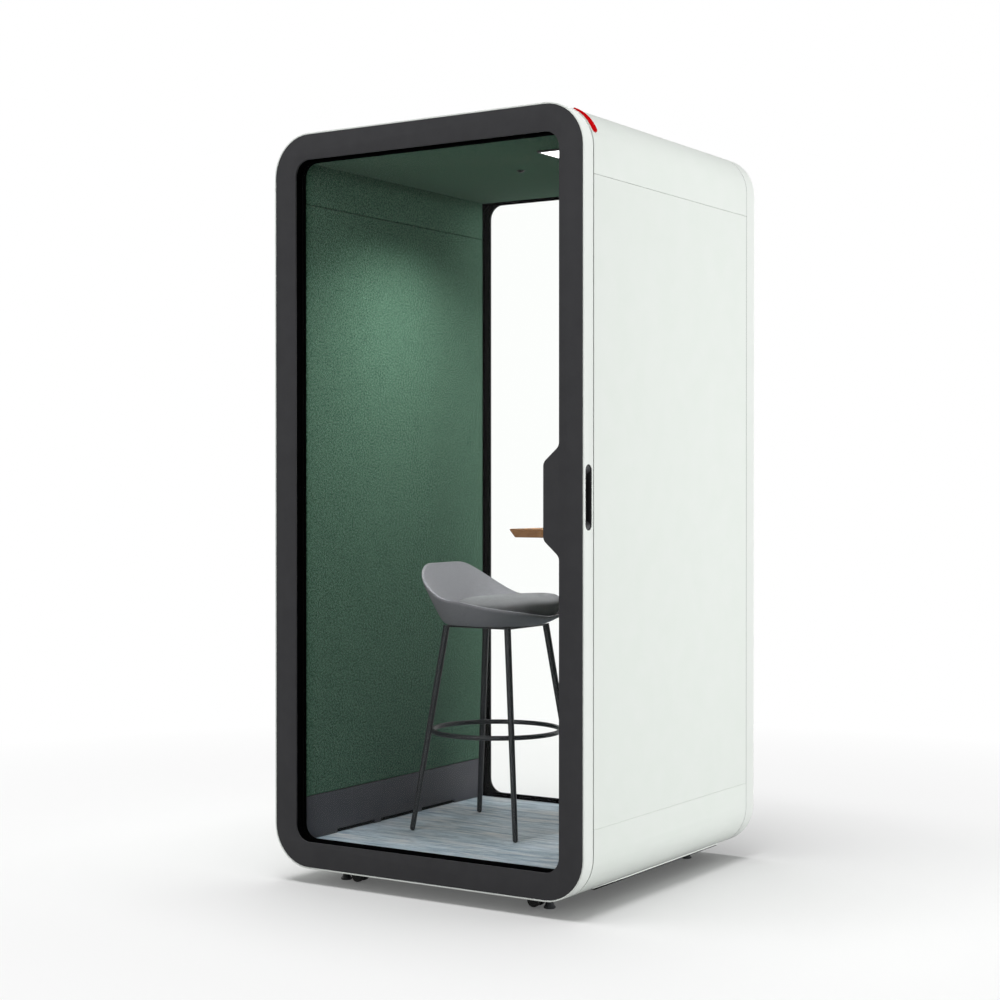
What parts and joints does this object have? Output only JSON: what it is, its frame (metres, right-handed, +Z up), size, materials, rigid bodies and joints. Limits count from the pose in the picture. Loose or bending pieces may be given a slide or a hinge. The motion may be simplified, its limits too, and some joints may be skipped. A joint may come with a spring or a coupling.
{
  "type": "acoustic office pod",
  "caption": "Free-standing acoustic office pod with rounded white shell, hinged glazed door, glazed rear, green felt linings, wall table, bar stool, castors and levelling feet.",
  "frame": {"origin": "on the floor under the centre of the shell, level with the undersides of the levelling feet", "axes": "+Z up, -Y out of the door, +X towards the door's handle edge and the table"},
  "size_m": [1.0925, 1.085, 2.254],
  "materials": {
    "white_shell": "satin",
    "white_frame": "satin",
    "dark_face": "satin",
    "dark_board": "matte",
    "black_reveal": "gloss",
    "clear_glass": "polished",
    "green_felt": "matte",
    "acoustic_core": "matte",
    "deck_board": "matte",
    "floor_covering": "matte",
    "skirting": "satin",
    "black_rubber": "matte",
    "black_plastic": "satin",
    "dark_steel": "satin",
    "oak": "satin",
    "status_red": "gloss",
    "lamp_white": "matte",
    "grey_upholstery": "matte",
    "grey_cushion": "matte"
  },
  "bodies": {
    "pod": {"roof_shell": "white_shell", "side_panel_left": "white_shell", "side_panel_right": "white_shell", "base_shell": "white_shell", "roof_core": "acoustic_core", "wall_core_left": "acoustic_core", "wall_core_right": "acoustic_core", "floor_deck": "deck_board", "floor_covering": "floor_covering", "wall_lining_left": "green_felt", "wall_lining_right": "green_felt", "upper_lining_left": "green_felt", "upper_lining_right": "green_felt", "ceiling_lining": "green_felt", "skirting_left": "skirting", "skirting_right": "skirting", "front_jamb": "dark_board", "rear_frame": "white_frame", "rear_face": "dark_face", "rear_liner": "black_reveal", "rear_glass": "clear_glass", "hinge_lower_top": "dark_steel", "hinge_lower_middle": "dark_steel", "hinge_lower_bottom": "dark_steel", "status_light": "status_red", "lamp_housing": "black_plastic", "lamp_diffuser": "lamp_white", "motion_sensor": "black_plastic", "fan_frame": "black_plastic", "power_inlet": "black_plastic", "table_top": "oak", "table_bracket_front": "dark_steel", "table_bracket_rear": "dark_steel"},
    "door": {"door_frame": "white_frame", "door_face": "dark_face", "door_liner": "black_reveal", "door_glass": "clear_glass", "door_seal": "black_rubber", "handle_pocket": "black_plastic", "hinge_upper_top": "dark_steel", "hinge_upper_middle": "dark_steel", "hinge_upper_bottom": "dark_steel"},
    "fan": {"fan_rotor": "black_plastic"},
    "stool": {"stool_frame": "dark_steel", "stool_shell": "grey_upholstery", "stool_cushion": "grey_cushion"},
    "castor_fork_fl": {"castor_fork_front_left": "black_plastic"},
    "castor_fork_fr": {"castor_fork_front_right": "black_plastic"},
    "castor_fork_rl": {"castor_fork_rear_left": "black_plastic"},
    "castor_fork_rr": {"castor_fork_rear_right": "black_plastic"},
    "castor_wheel_fl": {"castor_wheel_front_left": "black_rubber"},
    "castor_wheel_fr": {"castor_wheel_front_right": "black_rubber"},
    "castor_wheel_rl": {"castor_wheel_rear_left": "black_rubber"},
    "castor_wheel_rr": {"castor_wheel_rear_right": "black_rubber"},
    "foot_fl": {"levelling_foot_front_left": "dark_steel"},
    "foot_fr": {"levelling_foot_front_right": "dark_steel"},
    "foot_rl": {"levelling_foot_rear_left": "dark_steel"},
    "foot_rr": {"levelling_foot_rear_right": "dark_steel"}
  },
  "joints": [
    {"name": "door_hinge", "type": "hinge", "parent": "pod", "child": "door", "pos_m": [-0.5465, -0.491, 1.15], "axis": [0, 0, -1], "range_deg": [0, 105]},
    {"name": "fan_spin", "type": "hinge", "parent": "pod", "child": "fan", "pos_m": [0.383, -0.002, 2.2], "axis": [0, 0, 1], "continuous": true},
    {"name": "stool_slide", "type": "slide", "parent": "pod", "child": "stool", "axis": [1, 0, 0], "range_m": [-0.12, 0.2]},
    {"name": "castor_swivel_fl", "type": "hinge", "parent": "pod", "child": "castor_fork_fl", "pos_m": [-0.312, -0.4315, 0.046], "axis": [0, 0, 1], "continuous": true},
    {"name": "castor_swivel_fr", "type": "hinge", "parent": "pod", "child": "castor_fork_fr", "pos_m": [0.312, -0.4315, 0.046], "axis": [0, 0, 1], "continuous": true},
    {"name": "castor_swivel_rl", "type": "hinge", "parent": "pod", "child": "castor_fork_rl", "pos_m": [-0.312, 0.4315, 0.046], "axis": [0, 0, 1], "continuous": true},
    {"name": "castor_swivel_rr", "type": "hinge", "parent": "pod", "child": "castor_fork_rr", "pos_m": [0.312, 0.4315, 0.046], "axis": [0, 0, 1], "continuous": true},
    {"name": "castor_roll_fl", "type": "hinge", "parent": "castor_fork_fl", "child": "castor_wheel_fl", "pos_m": [-0.302, -0.4315, 0.022], "axis": [0, 1, 0], "continuous": true},
    {"name": "castor_roll_fr", "type": "hinge", "parent": "castor_fork_fr", "child": "castor_wheel_fr", "pos_m": [0.322, -0.4315, 0.022], "axis": [0, 1, 0], "continuous": true},
    {"name": "castor_roll_rl", "type": "hinge", "parent": "castor_fork_rl", "child": "castor_wheel_rl", "pos_m": [-0.302, 0.4315, 0.022], "axis": [0, 1, 0], "continuous": true},
    {"name": "castor_roll_rr", "type": "hinge", "parent": "castor_fork_rr", "child": "castor_wheel_rr", "pos_m": [0.322, 0.4315, 0.022], "axis": [0, 1, 0], "continuous": true},
    {"name": "foot_level_fl", "type": "slide", "parent": "pod", "child": "foot_fl", "axis": [0, 0, -1], "range_m": [0, 0.015]},
    {"name": "foot_level_fr", "type": "slide", "parent": "pod", "child": "foot_fr", "axis": [0, 0, -1], "range_m": [0, 0.015]},
    {"name": "foot_level_rl", "type": "slide", "parent": "pod", "child": "foot_rl", "axis": [0, 0, -1], "range_m": [0, 0.015]},
    {"name": "foot_level_rr", "type": "slide", "parent": "pod", "child": "foot_rr", "axis": [0, 0, -1], "range_m": [0, 0.015]}
  ]
}
